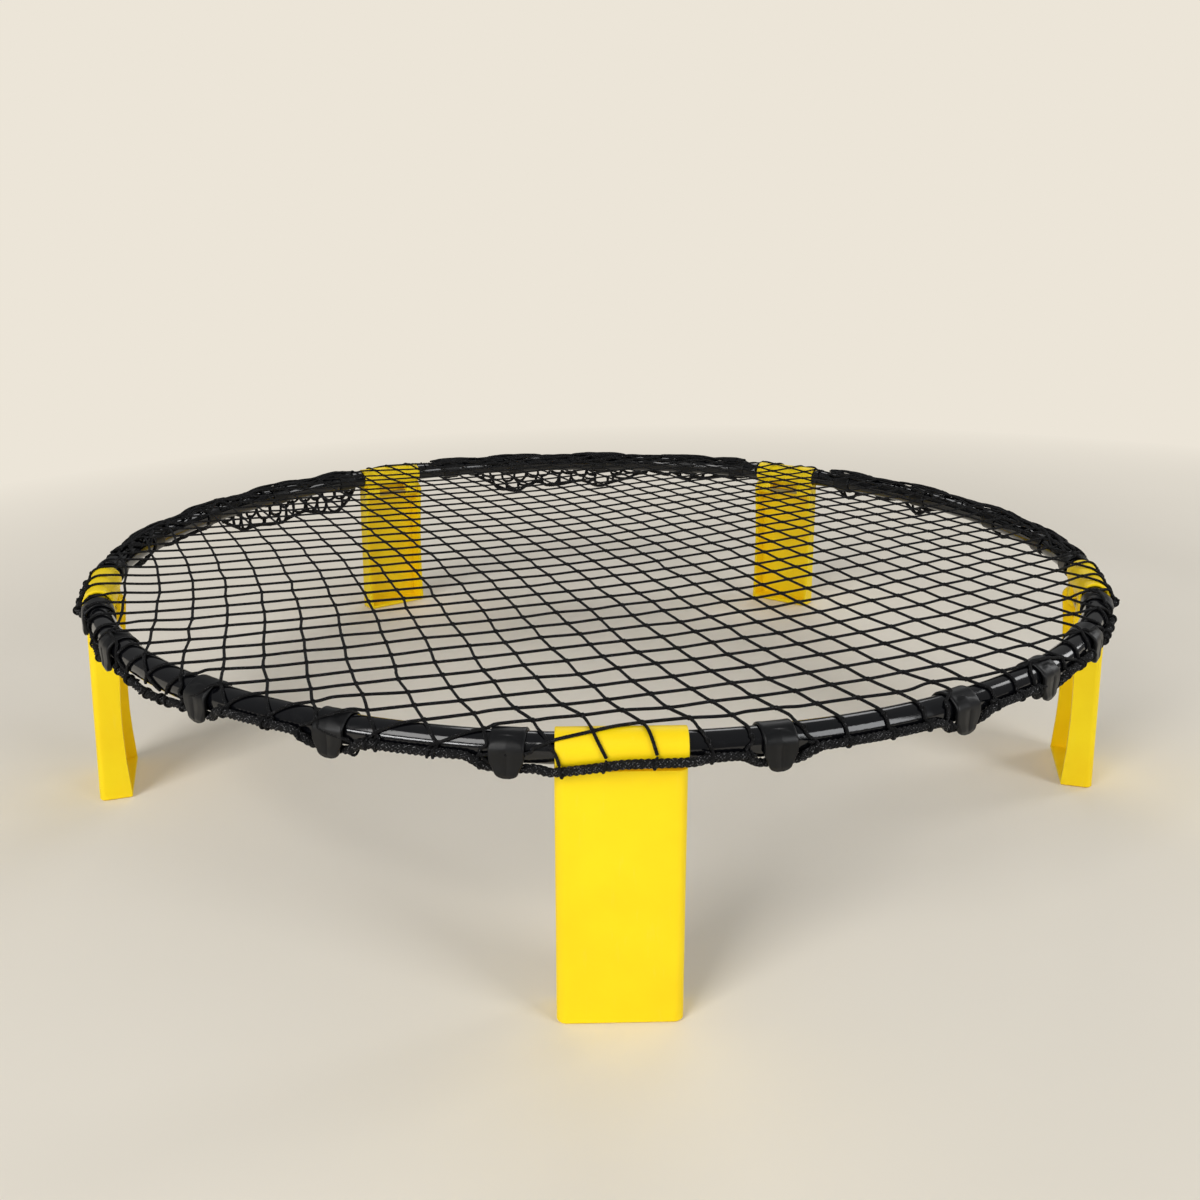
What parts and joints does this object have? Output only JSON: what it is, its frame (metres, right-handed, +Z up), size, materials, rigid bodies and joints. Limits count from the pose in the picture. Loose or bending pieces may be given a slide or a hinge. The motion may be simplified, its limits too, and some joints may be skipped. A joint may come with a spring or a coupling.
{
  "type": "roundnet set",
  "caption": "Round black tube rim on yellow legs that fold in under it, with a mesh net stretched over the rim and held to a border cord by clips.",
  "frame": {"origin": "centre of the rim, on the floor under it", "axes": "+Z up out of the net, -Y towards the front leg, +X to the right seen from the front"},
  "size_m": [0.9232, 0.9297, 0.1905],
  "materials": {
    "yellow_plastic": "bright yellow moulded plastic, lightly glossy",
    "black_tube": "glossy black tube",
    "grey_plastic": "satin dark grey moulded plastic",
    "pin_steel": "plain steel pin",
    "black_net": "black braided cord net",
    "black_cord": "thick black braided cord with light flecks"
  },
  "bodies": {
    "frame": {"rim_front_right": "black_tube", "rim_back_right": "black_tube", "rim_back": "black_tube", "rim_back_left": "black_tube", "rim_front_left": "black_tube", "hooks_front_right": "grey_plastic", "hooks_back_right": "grey_plastic", "hooks_back": "grey_plastic", "hooks_back_left": "grey_plastic", "hooks_front_left": "grey_plastic", "head_front": "yellow_plastic", "head_right": "yellow_plastic", "head_back_right": "yellow_plastic", "head_back_left": "yellow_plastic", "head_left": "yellow_plastic", "pin_front": "pin_steel", "pin_right": "pin_steel", "pin_back_right": "pin_steel", "pin_back_left": "pin_steel", "pin_left": "pin_steel", "border_cord": "black_cord", "net": "black_net"},
    "folding_leg_front": {"leg_front": "yellow_plastic"},
    "folding_leg_right": {"leg_right": "yellow_plastic"},
    "folding_leg_back_right": {"leg_back_right": "yellow_plastic"},
    "folding_leg_back_left": {"leg_back_left": "yellow_plastic"},
    "folding_leg_left": {"leg_left": "yellow_plastic"}
  },
  "joints": [
    {"name": "fold_front", "type": "hinge", "parent": "frame", "child": "folding_leg_front", "pos_m": [0, -0.4414, 0.15475], "axis": [1, 0, 0], "range_deg": [0, 90]},
    {"name": "fold_right", "type": "hinge", "parent": "frame", "child": "folding_leg_right", "pos_m": [0.4198, -0.1364, 0.15475], "axis": [0.309, 0.9511, 0], "range_deg": [0, 90]},
    {"name": "fold_back_right", "type": "hinge", "parent": "frame", "child": "folding_leg_back_right", "pos_m": [0.25945, 0.3571, 0.15475], "axis": [-0.809, 0.5878, 0], "range_deg": [0, 90]},
    {"name": "fold_back_left", "type": "hinge", "parent": "frame", "child": "folding_leg_back_left", "pos_m": [-0.25945, 0.3571, 0.15475], "axis": [-0.809, -0.5878, 0], "range_deg": [0, 90]},
    {"name": "fold_left", "type": "hinge", "parent": "frame", "child": "folding_leg_left", "pos_m": [-0.4198, -0.1364, 0.15475], "axis": [0.309, -0.9511, 0], "range_deg": [0, 90]}
  ]
}
